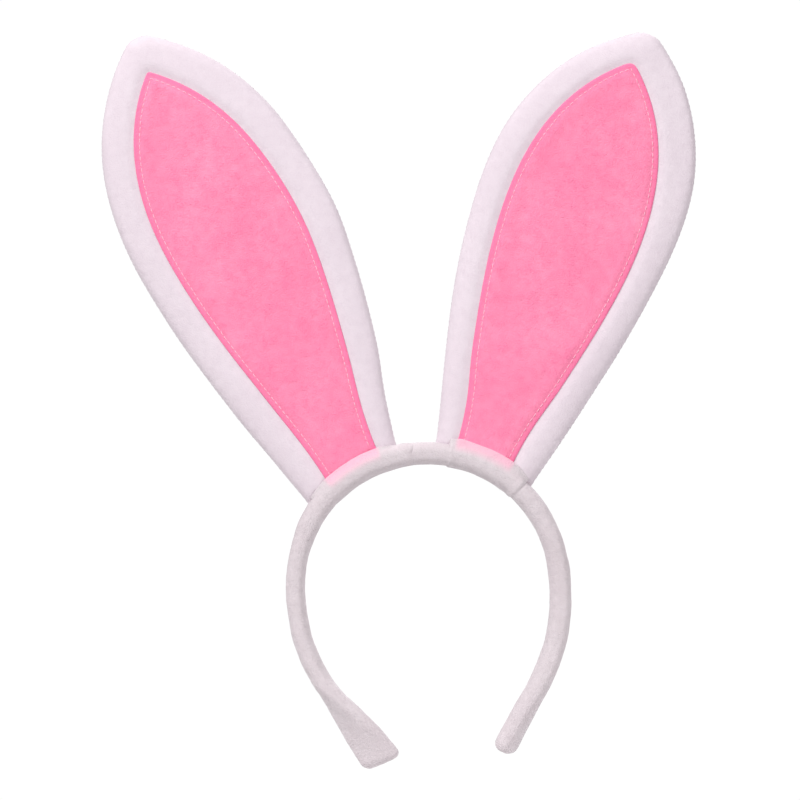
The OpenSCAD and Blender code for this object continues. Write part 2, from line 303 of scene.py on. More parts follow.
def subdivided(piece):
    """Makes the piece's mesh finer and smooth, for good."""
    modifier = piece.modifiers.new("finer", "SUBSURF")
    modifier.levels = 1
    bpy.context.view_layer.update()
    shown = piece.evaluated_get(bpy.context.evaluated_depsgraph_get())
    mesh = bpy.data.meshes.new_from_object(shown)
    piece.modifiers.clear()
    old = piece.data
    piece.data = mesh
    bpy.data.meshes.remove(old)
    mesh.name = piece.name


def puckered(piece, amount, period, stretch=(1, 1, 1), seed=0, mask=None):
    """Moves the surface in and out by up to about amount, in ripples of that period."""
    mesh = piece.data
    points = coordinates(mesh)
    normals = np.array([v.normal for v in mesh.vertices])
    scale = np.asarray(stretch) / (period * MM)
    height = np.array([noise.noise(Vector(p * scale + 17.3 * seed)) for p in points])
    if mask is not None:
        height = height * mask(points / MM)
    set_coordinates(mesh, points + normals * (height * amount * MM)[:, None])


def ironed(mesh, moved, pinned):
    """Evens out how far neighbouring points have moved, so that no small wrinkles stay."""
    ends = np.empty(2 * len(mesh.edges), int)
    mesh.edges.foreach_get("vertices", ends)
    a, b = ends.reshape(-1, 2).T
    neighbours = np.bincount(ends, minlength=len(moved))[:, None]
    for _ in range(IRONING):
        total = np.zeros_like(moved)
        np.add.at(total, a, moved[b])
        np.add.at(total, b, moved[a])
        moved = (moved + total / neighbours) / 2
        moved[pinned] = 0
    return moved


def simulated(piece, pinned, pressure, growth, frames, cap):
    """Blows the piece up as cloth and keeps the result; no point moves further than cap."""
    scene = bpy.context.scene
    rest = coordinates(piece.data)
    group = piece.vertex_groups.new(name="sewn")
    group.add([int(i) for i in pinned], 1.0, "REPLACE")
    modifier = piece.modifiers.new("cloth", "CLOTH")
    cloth = modifier.settings
    cloth.quality = 6
    cloth.mass = 0.3
    cloth.tension_stiffness = cloth.compression_stiffness = 15
    cloth.shear_stiffness = 5
    cloth.bending_stiffness = 0.05
    cloth.shrink_min = -growth
    cloth.use_pressure = True
    cloth.uniform_pressure_force = pressure
    cloth.vertex_group_mass = group.name
    cloth.effector_weights.gravity = 0
    modifier.collision_settings.use_collision = False
    modifier.point_cache.frame_start = 1
    modifier.point_cache.frame_end = frames
    for number in range(1, frames + 1):
        scene.frame_set(number)
    shown = piece.evaluated_get(bpy.context.evaluated_depsgraph_get())
    moved = ironed(piece.data, coordinates(shown.data) - rest, pinned)
    piece.modifiers.clear()
    piece.vertex_groups.clear()
    scene.frame_set(1)
    length = np.linalg.norm(moved, axis=1)
    moved *= np.minimum(1, cap * MM / np.maximum(length, 1e-9))[:, None]
    set_coordinates(piece.data, rest + moved)
    mean, most = length.mean() / MM, length.max() / MM
    print(f"{piece.name}: cloth moved {mean:.2f} mm on average, {most:.2f} at most")


def surface_of(piece):
    mesh = piece.data
    return BVHTree.FromPolygons(
        [v.co.copy() for v in mesh.vertices], [tuple(p.vertices) for p in mesh.polygons]
    )


def stitch_row(name, path, normals, length, gap, radius, material, slot):
    """Separate stitches along a path, each risen in its middle and with its ends in the cloth."""
    path, normals = np.asarray(path), np.asarray(normals)
    run = np.concatenate([[0], np.cumsum(np.linalg.norm(np.diff(path, axis=0), axis=1))])
    sides, rings = 6, 6
    points, faces = [], []
    for k in range(int((run[-1] + gap) / (length + gap))):
        at = k * (length + gap) + length * np.linspace(0, 1, rings)
        middle = np.stack([np.interp(at, run, column) for column in path.T], axis=-1)
        up = np.stack([np.interp(at, run, column) for column in normals.T], axis=-1)
        up /= np.linalg.norm(up, axis=1)[:, None]
        along = middle[-1] - middle[0]
        along /= np.linalg.norm(along)
        base = len(points)
        for i in range(rings):
            share = i / (rings - 1)
            lift = radius * (2.2 * math.sin(math.pi * share) - 1.2)
            thick = radius * (0.55 + 0.45 * math.sin(math.pi * share))
            across = np.cross(along, up[i])
            across /= np.linalg.norm(across)
            for j in range(sides):
                a = 2 * math.pi * j / sides
                ring = thick * (math.cos(a) * across + math.sin(a) * up[i])
                points.append(middle[i] + lift * up[i] + ring)
        for i in range(rings - 1):
            for j in range(sides):
                a, b = base + i * sides + j, base + i * sides + (j + 1) % sides
                faces.append((a, b, b + sides, a + sides))
        faces.append(tuple(reversed(range(base, base + sides))))
        faces.append(tuple(range(base + (rings - 1) * sides, base + rings * sides)))
    return new_object(name, points, faces, material)


def on_surface(surface, path):
    """The path laid on a surface, with the surface's normals."""
    laid, normals = [], []
    for p in np.asarray(path):
        place, normal = surface.find_nearest(Vector(p * MM))[:2]
        laid.append(np.array(place) / MM)
        normals.append(np.array(normal))
    return np.array(laid), np.array(normals)


# ---- Materials ----

def colour_mix(nodes, links, factor, low, high):
    mix = nodes.new("ShaderNodeMix")
    mix.data_type = "RGBA"
    links.new(factor, mix.inputs["Factor"])
    for socket, value in ((mix.inputs["A"], low), (mix.inputs["B"], high)):
        if isinstance(value, tuple):
            socket.default_value = (*value, 1)
        else:
            links.new(value, socket)
    return mix.outputs["Result"]


def fabric(name, light, dark, nap, sheen, sheen_tint, tint_attribute=None, tint_colour=None, grain=(1, 1, 1)):
    """Napped cloth: cloudy colour, a fine pile, and a sheen at the edges.

    The named value of the mesh's points mixes in a second colour: on the felt its deeper pink border, on the
    wraps a painted reflection of the pink panels. grain stretches its pile."""
    material = bpy.data.materials.new(name)
    material.use_nodes = True
    nodes, links = material.node_tree.nodes, material.node_tree.links
    shader = nodes["Principled BSDF"]
    shader.inputs["Roughness"].default_value = 0.92
    shader.inputs["Specular IOR Level"].default_value = 0.25
    shader.inputs["Sheen Weight"].default_value = sheen
    shader.inputs["Sheen Roughness"].default_value = 0.45
    shader.inputs["Sheen Tint"].default_value = (*sheen_tint, 1)
    place = nodes.new("ShaderNodeTexCoord")
    mapping = nodes.new("ShaderNodeMapping")
    mapping.inputs["Scale"].default_value = grain
    links.new(place.outputs["Object"], mapping.inputs["Vector"])

    def clouds(scale, detail, low, high, source):
        texture = nodes.new("ShaderNodeTexNoise")
        texture.inputs["Scale"].default_value = scale
        texture.inputs["Detail"].default_value = detail
        links.new(source, texture.inputs["Vector"])
        span = nodes.new("ShaderNodeMapRange")
        span.inputs["From Min"].default_value = low
        span.inputs["From Max"].default_value = high
        links.new(texture.outputs["Fac"], span.inputs["Value"])
        return span.outputs["Result"]

    broad = clouds(26, 4, 0.3, 0.7, place.outputs["Object"])
    mottle = clouds(240, 4, 0.3, 0.7, mapping.outputs["Vector"])
    pile = clouds(1500, 3, 0.25, 0.75, mapping.outputs["Vector"])
    middle = tuple((a + b) / 2 for a, b in zip(light, dark))
    colour = colour_mix(nodes, links, broad, light, middle)
    speckle = nodes.new("ShaderNodeMath")
    speckle.operation = "MULTIPLY"
    links.new(mottle, speckle.inputs[0])
    links.new(pile, speckle.inputs[1])
    colour = colour_mix(nodes, links, speckle.outputs[0], colour, dark)
    # Mixes in a second colour by a value of the points: on the wraps a painted reflection of the pink, on the
    # felt its own deeper border
    if tint_attribute:
        attribute = nodes.new("ShaderNodeAttribute")
        attribute.attribute_name = tint_attribute
        colour = colour_mix(nodes, links, attribute.outputs["Fac"], colour, tint_colour)
    links.new(colour, shader.inputs["Base Color"])

    wear = nodes.new("ShaderNodeMapRange")
    wear.inputs["To Min"].default_value = 0.84
    wear.inputs["To Max"].default_value = 1
    links.new(mottle, wear.inputs["Value"])
    links.new(wear.outputs["Result"], shader.inputs["Roughness"])

    previous = None
    for height, distance, strength in ((pile, 0.35 * nap, 0.7), (mottle, 0.5 * nap, 0.35)):
        bump = nodes.new("ShaderNodeBump")
        bump.inputs["Strength"].default_value = strength
        bump.inputs["Distance"].default_value = distance * MM
        links.new(height, bump.inputs["Height"])
        if previous:
            links.new(previous.outputs["Normal"], bump.inputs["Normal"])
        previous = bump
    links.new(previous.outputs["Normal"], shader.inputs["Normal"])
    return material


def thread(name, colour, shade):
    """Spun thread, with its twist as fine slanting ridges, darker in their grooves as painted shade."""
    material = bpy.data.materials.new(name)
    material.use_nodes = True
    nodes, links = material.node_tree.nodes, material.node_tree.links
    shader = nodes["Principled BSDF"]
    shader.inputs["Roughness"].default_value = 0.6
    shader.inputs["Sheen Weight"].default_value = 0.2
    place = nodes.new("ShaderNodeTexCoord")
    twist = nodes.new("ShaderNodeTexWave")
    twist.bands_direction = "DIAGONAL"
    twist.inputs["Scale"].default_value = 900
    twist.inputs["Distortion"].default_value = 2
    links.new(place.outputs["Object"], twist.inputs["Vector"])
    # Painted shade: the colour darkens where the twist's bump is low
    links.new(colour_mix(nodes, links, twist.outputs["Fac"], shade, colour), shader.inputs["Base Color"])
    bump = nodes.new("ShaderNodeBump")
    bump.inputs["Strength"].default_value = 0.5
    bump.inputs["Distance"].default_value = 0.1 * MM
    links.new(twist.outputs["Fac"], bump.inputs["Height"])
    links.new(bump.outputs["Normal"], shader.inputs["Normal"])
    return material


def speckled(name, colour, shade, roughness, scale, depth):
    """A plain material with a fine grain, darker in the grain's hollows as painted shade, for foam, plastic
    and the floor.
    """
    material = bpy.data.materials.new(name)
    material.use_nodes = True
    nodes, links = material.node_tree.nodes, material.node_tree.links
    shader = nodes["Principled BSDF"]
    shader.inputs["Roughness"].default_value = roughness
    place = nodes.new("ShaderNodeTexCoord")
    grain = nodes.new("ShaderNodeTexVoronoi")
    grain.inputs["Scale"].default_value = scale
    links.new(place.outputs["Object"], grain.inputs["Vector"])
    # Painted shade: the colour darkens where the grain's bump is low
    links.new(colour_mix(nodes, links, grain.outputs["Distance"], shade, colour), shader.inputs["Base Color"])
    bump = nodes.new("ShaderNodeBump")
    bump.inputs["Strength"].default_value = 0.4
    bump.inputs["Distance"].default_value = depth * MM
    links.new(grain.outputs["Distance"], bump.inputs["Height"])
    links.new(bump.outputs["Normal"], shader.inputs["Normal"])
    return material


WHITE_LIGHT, WHITE_DARK = (0.735, 0.645, 0.7), (0.65, 0.555, 0.615)
BAND_LIGHT, BAND_DARK = (0.67, 0.6, 0.63), (0.57, 0.495, 0.525)
PINK_LIGHT, PINK_DARK = (0.99, 0.3, 0.465), (0.83, 0.165, 0.32)
# Painted reflection: the colour of the pink panels' light falling on the wraps' lips
REFLECTED_PINK = (0.9, 0.44, 0.58)
PINK_BORDER = (0.93, 0.2, 0.38)
WHITE_SHEEN, PINK_SHEEN = (1, 0.97, 1), (1, 0.7, 0.82)
BAND_GRAIN = (1, 0.35, 1)
VELOUR = fabric("white_velour", WHITE_LIGHT, WHITE_DARK, 0.4, 0.25, WHITE_SHEEN)
BAND_VELOUR = fabric("band_velour", BAND_LIGHT, BAND_DARK, 1.2, 0.25, WHITE_SHEEN, grain=BAND_GRAIN)
# The wraps' velour carries the painted reflection of the pink panels on their lips
WRAP_VELOUR = fabric(
    "wrap_velour", BAND_LIGHT, BAND_DARK, 1.2, 0.25, WHITE_SHEEN, "painted_reflection", REFLECTED_PINK, BAND_GRAIN
)
PINK = fabric("pink_felt", PINK_LIGHT, PINK_DARK, 1, 0.3, PINK_SHEEN, "border", PINK_BORDER)
WHITE_THREAD = thread("white_thread", (0.88, 0.85, 0.86), (0.7, 0.66, 0.68))
PINK_THREAD = thread("pink_thread", (1.0, 0.6, 0.72), (0.95, 0.44, 0.58))
FOAM = speckled("foam", (0.9, 0.88, 0.8), (0.7, 0.67, 0.58), 0.95, 900, 0.3)
PLASTIC = speckled("strip_plastic", (0.8, 0.8, 0.78), (0.74, 0.74, 0.72), 0.5, 400, 0.05)
FLOOR = speckled("floor", (0.78, 0.78, 0.78), (0.76, 0.76, 0.76), 0.95, 60, 0.05)

# How each kind of stitch is made, for stitch_row
SEAM_STITCH = dict(length=2.2, gap=1.4, radius=0.26, material=WHITE_THREAD, slot="white_thread")
TACK_STITCH = dict(length=2.4, gap=1.2, radius=0.3, material=WHITE_THREAD, slot="white_thread")
TOPSTITCH = dict(length=2.7, gap=0.25, radius=0.2, material=PINK_THREAD, slot="pink_thread")
RIM_STITCH = dict(length=1.7, gap=1.3, radius=0.1, material=WHITE_THREAD, slot="white_thread")


# ---- The band ----

def mirrored(side, points):
    return np.asarray(points) * (OUTWARDS[side], 1, 1)


def hoop_ring(angle, section):
    """A section of (outwards, backwards) points, placed on the hoop at an angle up from the side."""
    a = math.radians(angle)
    r = HOOP_R + section[:, 0]
    return np.stack([r * math.cos(a), section[:, 1], r * math.sin(a)], axis=-1)


def arm_curve(side):
    arm = ARMS[side]
    middle_r = HOOP_R + arm["t"] / 2
    reach = ARM_REACH * middle_r
    slope = math.radians(END_SLOPE)
    start = np.array([middle_r, 0])
    end = np.array([arm["end_x"], -END_DROP])
    return start, start - (0, reach), end + reach * np.array([math.sin(slope), math.cos(slope)]), end


def curve_ring(side, u, section, ahead=0):
    """A section about the middle of an arm's curved part, ahead of u along it."""
    arm, curve = ARMS[side], arm_curve(side)
    along = bezier_direction(curve, u)
    middle = bezier(curve, u) + ahead * along
    twist = math.radians(arm["twist"] * max(0, (u - TWIST_FROM) / (1 - TWIST_FROM)) ** TWIST_EASE)
    out = (section[:, 0] - arm["t"] / 2) * math.cos(twist) + section[:, 1] * math.sin(twist)
    back = section[:, 1] * math.cos(twist) - (section[:, 0] - arm["t"] / 2) * math.sin(twist)
    further = (arm["longer"] - arm["skew"] * out) * float(smooth((u - CUT_FROM) / CUT_OVER))
    x = middle[0] - out * along[1] + further * along[0]
    z = middle[1] + out * along[0] + further * along[1]
    return np.stack([x, back, z], axis=-1)


def band_section(t, inset=0.0, points=44):
    """A padded section from 0 to t outwards, with its flatter side on the head."""
    a = 2 * math.pi * np.arange(points) / points
    x = (t / 2 - inset) * signed_power(np.cos(a), 2 / SQUARENESS)
    y = (BAND_W / 2 - inset) * signed_power(np.sin(a), 2 / SQUARENESS)
    bulge = np.where(x > 0, OUTER_BULGE * (1 - (2 * y / BAND_W) ** 2), 0)
    return np.stack([t / 2 + x + bulge - SET_IN, y], axis=-1)


def foam_section(t, inset=0.0):
    return band_section(t, FOAM_INSET + inset, points=24)


def strip_section(*_):
    """The plastic strip, which is the same in a band of any thickness."""
    low, high, half = 3.0, 4.8, 5.5
    chamfer = 0.3
    return np.array([
        (high, -half + chamfer), (high, half - chamfer), (high - chamfer, half), (low + chamfer, half),
        (low, half - chamfer), (low, -half + chamfer), (low + chamfer, -half), (high - chamfer, -half),
    ])


def arm_thickness(side, angle):
    """The arm grows to the crown's thickness as it goes under its wrap."""
    t = ARMS[side]["t"]
    return t + (CROWN_T - t) * float(smooth((angle - GROW_FROM) / GROW_OVER))


def arm_rings(side, top, step, section, last=1 - END_ROUND_SHARE, rounded=True):
    """Rings from an angle on the hoop to a share of the arm's curve, then round its end.

    section makes each ring's section from the band's thickness and an inset."""
    rings = []
    t = ARMS[side]["t"]
    hoop_steps = max(2, round(math.radians(top) * HOOP_R / step))
    for k in range(hoop_steps):
        angle = top - top * k / hoop_steps
        rings.append(hoop_ring(angle, section(arm_thickness(side, angle))))
    curve_steps = round(CURVE_LEN * last / step)
    for k in range(curve_steps + 1):
        rings.append(curve_ring(side, last * k / curve_steps, section(t)))
    if rounded:
        for a in np.radians([20, 38, 54, 68, 80]):
            smaller = section(t, END_ROUND * (1 - math.cos(a)))
            rings.append(curve_ring(side, last, smaller, END_ROUND * math.sin(a)))
    return mirrored(side, rings)


def hoop_tube(side, low, high, step, section):
    """Rings of a section along the hoop between two angles, step degrees apart."""
    angles = np.linspace(high, low, max(3, round((high - low) / step)))
    return mirrored(side, [hoop_ring(a, section) for a in angles])


def bend_with_arm(piece):
    """Bakes the piece's placement into its mesh."""
    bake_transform(piece)


def seam_on(surface, rings):
    """The sleeve's seam along rings of a padded section, laid on a surface, with the surface's normals."""
    seam = rings[:, round(BACK_INNER * rings.shape[1])]
    return on_surface(surface, resampled(seam, SEAM_STEP, closed=False))


def build_arm(side):
    top = ARMS[side]["wrap"][0] + ARM_UNDER
    rings = arm_rings(side, top, 2, band_section)
    count, n = rings.shape[:2]
    velour = loft(f"{side}_arm_velour", rings, BAND_VELOUR)
    seam_column = round(BACK_INNER * n)
    sewn = [k * n + seam_column for k in range(count)] + list(range(3 * n))
    sewn += [k * n + i for k in range(count - 2, count) for i in range(n)]
    simulated(velour, sorted(set(sewn)), pressure=7, growth=0, frames=16, cap=0.3)
    subdivided(velour)
    puckered(velour, amount=0.25, period=9, stretch=(1, 0.35, 1), seed=3 if side == LEFT else 4)
    puckered(velour, amount=0.14, period=2.4, stretch=(1, 0.15, 1), seed=5)
    surface = surface_of(velour)
    bend_with_arm(velour)
    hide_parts(f"{side}_arm_cover")

    stitches = stitch_row(f"{side}_arm_seam_stitches", *seam_on(surface, rings), **SEAM_STITCH)
    bend_with_arm(stitches)
    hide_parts(f"{side}_arm_seam")

    rings = arm_rings(side, top - ARM_FOAM_SHORTER, 4, foam_section)
    foam = loft(f"{side}_arm_foam", rings, FOAM)
    bend_with_arm(foam)
    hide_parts(f"{side}_arm_padding")

    rings = arm_rings(side, 90, 4, strip_section, STRIP_END_SHARE, rounded=False)
    strip = loft(f"{side}_half_strip", rings, PLASTIC)
    bend_with_arm(strip)
    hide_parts("spring_strip")


def build_end_fold(side):
    """The turned-in end of the cover, a small flap sewn flat on the side that lies on the head."""
    rings = []
    half, thick, count = 5.0, 0.7, 12
    for k, u in enumerate(np.linspace(*FLAP_SHARES, count)):
        share = k / (count - 1)
        end = min(1, math.sin(math.pi * min(share, 1 - share) * 2.2 + 0.25)) if 0 < share < 1 else 0.35
        a = 2 * math.pi * np.arange(20) / 20
        x = 0.05 - 0.5 * thick * end * np.cos(a)
        y = (half - 1.2 * (1 - end)) * signed_power(np.sin(a), 0.5)
        rings.append(curve_ring(side, u, np.stack([x, y], axis=-1)))
    flap = loft(f"{side}_end_flap", mirrored(side, rings), BAND_VELOUR)
    subdivided(flap)
    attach(flap, f"{side}_arm")
    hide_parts(f"{side}_end_fold")


def build_crown():
    low, high = ARMS[RIGHT]["wrap"][0] + CROWN_UNDER, 180 - ARMS[LEFT]["wrap"][0] - CROWN_UNDER
    tube = hoop_tube(RIGHT, low, high, 1.6, band_section(CROWN_T))
    velour = loft("crown_velour", tube, BAND_VELOUR)
    subdivided(velour)
    puckered(velour, amount=0.28, period=6, stretch=(1, 0.3, 1), seed=6)
    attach(velour, "crown")
    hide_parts("crown_cover")
    between_wraps = ARMS[RIGHT]["wrap"][1] + 0.5, 180 - ARMS[LEFT]["wrap"][1] - 0.5
    bare = hoop_tube(RIGHT, *between_wraps, 1, band_section(CROWN_T))
    seam = stitch_row("crown_seam_stitches", *seam_on(surface_of(velour), bare), **SEAM_STITCH)
    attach(seam, "crown")
    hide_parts("crown_seam")
    low, high = low + CROWN_FOAM_SHORTER, high - CROWN_FOAM_SHORTER
    tube = hoop_tube(RIGHT, low, high, 3, foam_section(CROWN_T))
    foam = loft("crown_foam", tube, FOAM)
    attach(foam, "crown")
    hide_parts("crown_padding")


# ---- The ears ----

def ear_world(side, x, y, z):
    """Points of an ear's own frame (outwards, backwards, up the ear) in the part's frame."""
    lean = math.radians(EARS[side]["lean"])
    out = SEAT_X + x * math.cos(lean) + z * math.sin(lean)
    up = SEAT_Z - x * math.sin(lean) + z * math.cos(lean)
    return np.stack([OUTWARDS[side] * out, y, up], axis=-1)


def ear_local(side, x, z):
    """An ear's own (outwards, up the ear) of points (outwards, up) in the part's frame."""
    lean = math.radians(EARS[side]["lean"])
    dx, dz = x - SEAT_X, z - SEAT_Z
    out = dx * math.cos(lean) - dz * math.sin(lean)
    up = dx * math.sin(lean) + dz * math.cos(lean)
    return np.stack([out, up], axis=-1)


def hoop_centre(side):
    """The hoop's middle in the ear's own frame."""
    return ear_local(side, 0.0, 0.0)


def ear_side(side, curve, sign, foot_r, stray, middle=(0, 0)):
    """One side of an outline, as (x, z) from where it meets a radius round the hoop up to its top.

    middle is where the outline's middle line lies at the seat and at the tip."""
    ear = EARS[side]
    stretch = ear["length"] / PATTERN_LEN
    drawn = bezier(curve, np.linspace(0, 1, 401))
    drawn = np.vstack([(drawn[0, 0] - BELOW_NARROWER, -BELOW_SEAT), drawn])
    heights = np.unique(np.concatenate([np.linspace(-BELOW_SEAT, 0, 13), drawn[1:, 1]]))
    width = np.interp(heights, drawn[:, 1], drawn[:, 0])
    s = heights * stretch
    along = np.clip(s / ear["length"], 0, 1)
    upper = smooth((s - UPPER_FROM) / UPPER_OVER)
    lower = smooth((s - LOWER_FROM) / LOWER_OVER) * (1 - upper)
    below_tip = 1 - smooth((s - ear["length"] + TIP_FADE) / TIP_FADE)
    width = width + below_tip * (stray["low"] * lower + stray["high"] * upper)
    bow = stray["sway"] * np.sin(math.pi * along) + stray["tip_shift"] * upper
    x = bow + sign * width + middle[0] + (middle[1] - middle[0]) * along
    level = smooth((s - HINGE_S) / (LEVEL_S - HINGE_S))
    z = s - x * (math.tan(math.radians(SEAT_ANGLE - ear["lean"])) * (1 - level))
    centre = hoop_centre(side)
    clear = np.hypot(x - centre[0], z - centre[1]) > foot_r
    return np.stack([x, z], axis=-1)[clear]


def ear_outline(side, curve, foot_r, tip_round, stray, middle=(0, 0)):
    """A closed outline, and the open stretch of it that leaves out the foot."""
    outer = ear_side(side, curve, 1, foot_r, stray, middle)
    inner = ear_side(side, curve, -1, foot_r, stray, middle)
    free = resampled(np.vstack([outer, inner[::-1]]), OUTLINE_STEP, closed=False)
    span = max(1, round(2 * tip_round / OUTLINE_STEP))
    kernel = np.hanning(2 * span + 3)[1:-1]
    kernel /= kernel.sum()
    rounded = np.stack(
        [np.convolve(np.pad(column, span, mode="edge"), kernel, mode="valid") for column in free.T], axis=-1
    )
    centre = hoop_centre(side)
    start, end = rounded[-1] - centre, rounded[0] - centre
    angles = np.linspace(math.atan2(start[1], start[0]), math.atan2(end[1], end[0]), 60)[1:-1]
    foot = centre + foot_r * np.stack([np.cos(angles), np.sin(angles)], axis=-1)
    return np.vstack([rounded, foot]), rounded


def sheet_mesh(outline, lines, spacing):
    """Even triangles within an outline: points, faces, and how many points lie on the outline and the lines.

    The outline's points come first, and the lines' points follow them."""
    edge = resampled(outline, spacing, closed=True)
    kept = [resampled(line, spacing, closed=False) for line in lines]
    low, high = edge.min(axis=0), edge.max(axis=0)
    rows = np.arange(low[1], high[1], spacing * math.sqrt(3) / 2)
    grid = [
        (x, z)
        for k, z in enumerate(rows)
        for x in np.arange(low[0] + (k % 2) * spacing / 2, high[0], spacing)
    ]
    grid = np.array(grid)
    grid = grid[inside(grid, edge)]
    grid = grid[path_distance(grid, edge, closed=True) > CLEAR_SHARE * spacing]
    for line in lines:
        grid = grid[path_distance(grid, line, closed=False) > CLEAR_SHARE * spacing]
    points = np.vstack([edge, *kept, grid])
    made = geometry.delaunay_2d_cdt([Vector(p) for p in points], [], [list(range(len(edge)))], 1, 1e-5)
    points = np.array([tuple(p) for p in made[0]])
    return points, [tuple(f) for f in made[2]], len(edge), sum(len(line) for line in kept)


def two_layers(name, front, back, triangles, edges, material):
    """A closed piece from two layers of one flat mesh, joined along the edge's points, which come first.

    Also gives the back layer's point for each point of the flat mesh."""
    behind = np.concatenate([np.arange(edges), np.arange(len(front), 2 * len(front) - edges)])
    faces = triangles + [tuple(int(behind[i]) for i in reversed(f)) for f in triangles]
    return new_object(name, np.vstack([front, back[edges:]]), faces, material), behind


def rim_thickness(distance):
    """Half the ear's thickness at a distance from its rim."""
    share = np.clip(distance / RIM_ROUND, 0, 1)
    return EAR_HALF_T * np.sqrt(1 - (1 - share) ** RIM_POWER)


def inset_path(path, amount):
    """An outline's free edge moved inwards, without the stretches that come too near its other side."""
    along = np.gradient(path, axis=0)
    along /= np.linalg.norm(along, axis=1)[:, None]
    moved = path + amount * np.stack([-along[:, 1], along[:, 0]], axis=-1)
    return moved[path_distance(moved, path, closed=False) > amount - 0.08]


def ear_shapes(side):
    ear = EARS[side]
    stray = STRAY[side]
    outline, rim = ear_outline(side, EAR_SIDE, FOOT_R, ear["tip_round"], stray["ear"])
    pink_outline, pink_rim = ear_outline(
        side, PINK_SIDE, PINK_FOOT_R, ear["pink_round"], stray["pink"], ear["pink_shift"]
    )
    centre = hoop_centre(side)
    stitch = inset_path(pink_rim, STITCH_INSET)
    stitch = stitch[np.linalg.norm(stitch - centre, axis=1) > CROWN_OUT + 0.5]
    rim_row = inset_path(rim, RIM_ROW)
    rim_row = rim_row[np.linalg.norm(rim_row - centre, axis=1) > FOOT_R + RIM_ROW]
    return dict(
        outline=outline, rim=rim, rim_row=rim_row, pink=pink_outline, pink_rim=pink_rim, stitch=stitch
    )


def pink_depth(shapes, points):
    """Each point's distance inside the pink panel's free edge, negative outside it."""
    distance = path_distance(points, shapes["pink_rim"], closed=False)
    return np.where(inside(points, shapes["pink"]), distance, -distance)


def build_pillow(side, shapes):
    """The white front and back panels, sewn round the rim and stuffed."""
    lines = [shapes["stitch"], shapes["rim_row"], shapes["pink_rim"]]
    flat, triangles, edges, sewn = sheet_mesh(shapes["outline"], lines, CLOTH_GRID)
    rim_distance = path_distance(flat, shapes["rim"], closed=False)
    thick = rim_thickness(rim_distance)
    thick[:edges] = 0
    valley = VALLEY * np.exp(-((pink_depth(shapes, flat) - VALLEY_INSET) / VALLEY_WIDTH) ** 2)
    front = ear_world(side, flat[:, 0], -np.maximum(thick - valley, THINNEST_SHARE * thick), flat[:, 1])
    back = ear_world(side, flat[:, 0], BACK_SHARE * thick, flat[:, 1])
    name = f"{side}_ear_plush"
    pillow, behind = two_layers(name, front, back, triangles, edges, VELOUR)
    foot = np.linalg.norm(flat - hoop_centre(side), axis=1) < HELD_R
    held = np.nonzero(foot | (rim_distance < SEAM_ALLOWANCE))[0]
    pinned = set(range(edges + sewn)) | set(held) | set(behind[held])
    simulated(pillow, sorted(pinned), pressure=6, growth=-0.004, frames=20, cap=1.2)
    subdivided(pillow)
    puckered(pillow, amount=0.3, period=34, seed=1 if side == LEFT else 2)
    return pillow


def front_of(surface, points):
    """The depth at which each point's place is met on a surface when it is looked at from the front."""
    depth = []
    for x, _, z in points:
        hit = surface.ray_cast(Vector((x * MM, -0.05, z * MM)), Vector((0, 1, 0)))[0]
        depth.append(hit.y / MM if hit else 0)
    return np.array(depth)


def bend_with_ear(piece):
    """Bakes the piece's placement into its mesh."""
    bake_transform(piece)


def build_felt(side, shapes, surface):
    """The pink panel, laid on the ear's front and dimpled along its topstitch."""
    lines = [shapes["stitch"], inset_path(shapes["pink_rim"], PINK_ROW)]
    flat, triangles, edges, _ = sheet_mesh(shapes["pink"], lines, FELT_GRID)
    edge_distance = np.abs(pink_depth(shapes, flat))
    rounding = 1 - (1 - np.clip(edge_distance / FELT_EDGE, 0, 1)) ** 2
    lift = FELT_T * np.sqrt(np.clip(rounding, 0, 1)) + FELT_GAP
    lift -= GROOVE * np.exp(-((edge_distance - STITCH_INSET) / GROOVE_WIDTH) ** 2)
    top = ear_world(side, flat[:, 0], np.zeros(len(flat)), flat[:, 1])
    bottom = top.copy()
    ground = front_of(surface, top)
    top[:, 1] = ground - lift
    top[:edges, 1] = ground[:edges] - EDGE_SUNK
    bottom[:, 1] = ground + FELT_SUNK
    name = f"{side}_ear_pink_felt"
    felt, _ = two_layers(name, top, bottom, triangles, edges, PINK)
    border = smooth((STITCH_INSET + BORDER_OVER - edge_distance) / BORDER_FADE)
    set_attribute(felt, "border", np.concatenate([border, border[edges:]]))
    subdivided(felt)
    return felt


def build_topstitches(side, shapes, felt):
    stitch = resampled(shapes["stitch"], 1.0, closed=False)
    before = ear_world(side, stitch[:, 0], np.full(len(stitch), -EAR_HALF_T - 1), stitch[:, 1])
    return stitch_row(f"{side}_ear_topstitches", *on_surface(surface_of(felt), before), **TOPSTITCH)


def build_rim_stitches(side, shapes, surface):
    """Tiny stitches where the front and back panels meet, found by looking at the rim from outside."""
    rim = resampled(shapes["rim"], SEAM_STEP, closed=False)
    along = np.gradient(rim, axis=0)
    along /= np.linalg.norm(along, axis=1)[:, None]
    out = np.stack([along[:, 1], -along[:, 0]], axis=-1)
    away = 4
    outside = rim + away * out
    level = np.zeros(len(rim))
    places = ear_world(side, outside[:, 0], level, outside[:, 1])
    heads = ear_world(side, out[:, 0], level, out[:, 1]) - ear_world(side, 0.0, 0.0, 0.0)
    seam = []
    for place, head in zip(places, heads):
        hit = surface.ray_cast(Vector(place * MM), Vector(-head))[0]
        seam.append(np.array(hit) / MM if hit else place - away * head)
    return stitch_row(f"{side}_ear_rim_stitches", seam, heads, **RIM_STITCH)


